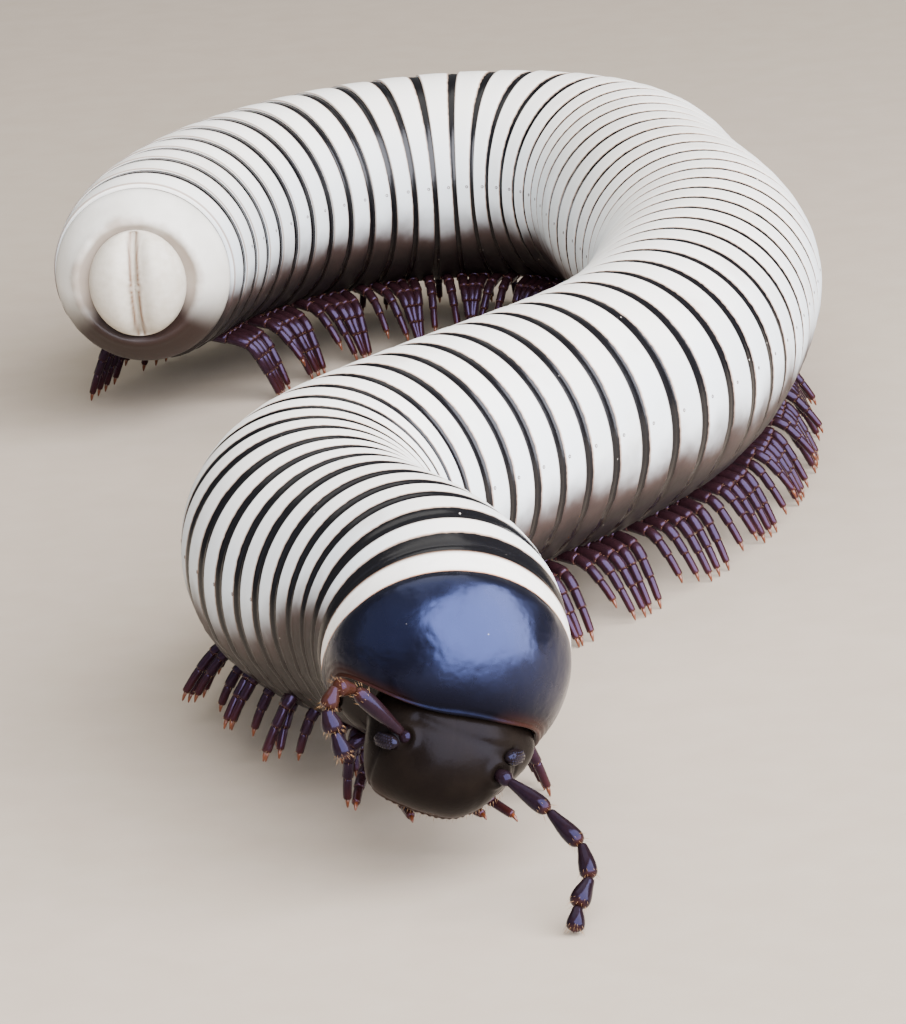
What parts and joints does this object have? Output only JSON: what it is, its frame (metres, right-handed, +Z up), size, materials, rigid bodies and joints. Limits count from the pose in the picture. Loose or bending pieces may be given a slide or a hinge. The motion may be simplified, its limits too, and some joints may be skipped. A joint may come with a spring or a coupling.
{
  "type": "giant millipede",
  "caption": "Life-size giant African millipede walking with its ringed, ivory and black body bent in an S, head and feelers to the front.",
  "frame": {"origin": "centre of the bounding box at floor level", "axes": "-Y the way the head faces, +X the animal's left, +Z up from the floor the feet stand on"},
  "size_m": [0.0614, 0.1648, 0.022],
  "materials": {
    "trunk": "satin, ivory rings with dark bands and dark legs",
    "head": "glossy near black",
    "collum": "glossy black with an ivory rear band",
    "eye": "glossy black",
    "antenna": "glossy dark red brown",
    "telson": "satin ivory, brown at its rear edge",
    "valves": "satin ivory, brown along the lips of the slit"
  },
  "bodies": {
    "root": {"trunk_1": "trunk", "trunk_2": "trunk", "trunk_3": "trunk", "trunk_4": "trunk", "trunk_5": "trunk", "trunk_6": "trunk", "trunk_7": "trunk", "trunk_8": "trunk", "trunk_9": "trunk", "head": "head", "collum": "collum", "eye_left": "eye", "eye_right": "eye", "antenna_left": "antenna", "antenna_right": "antenna", "telson": "telson", "anal_valves": "valves"}
  },
  "joints": []
}
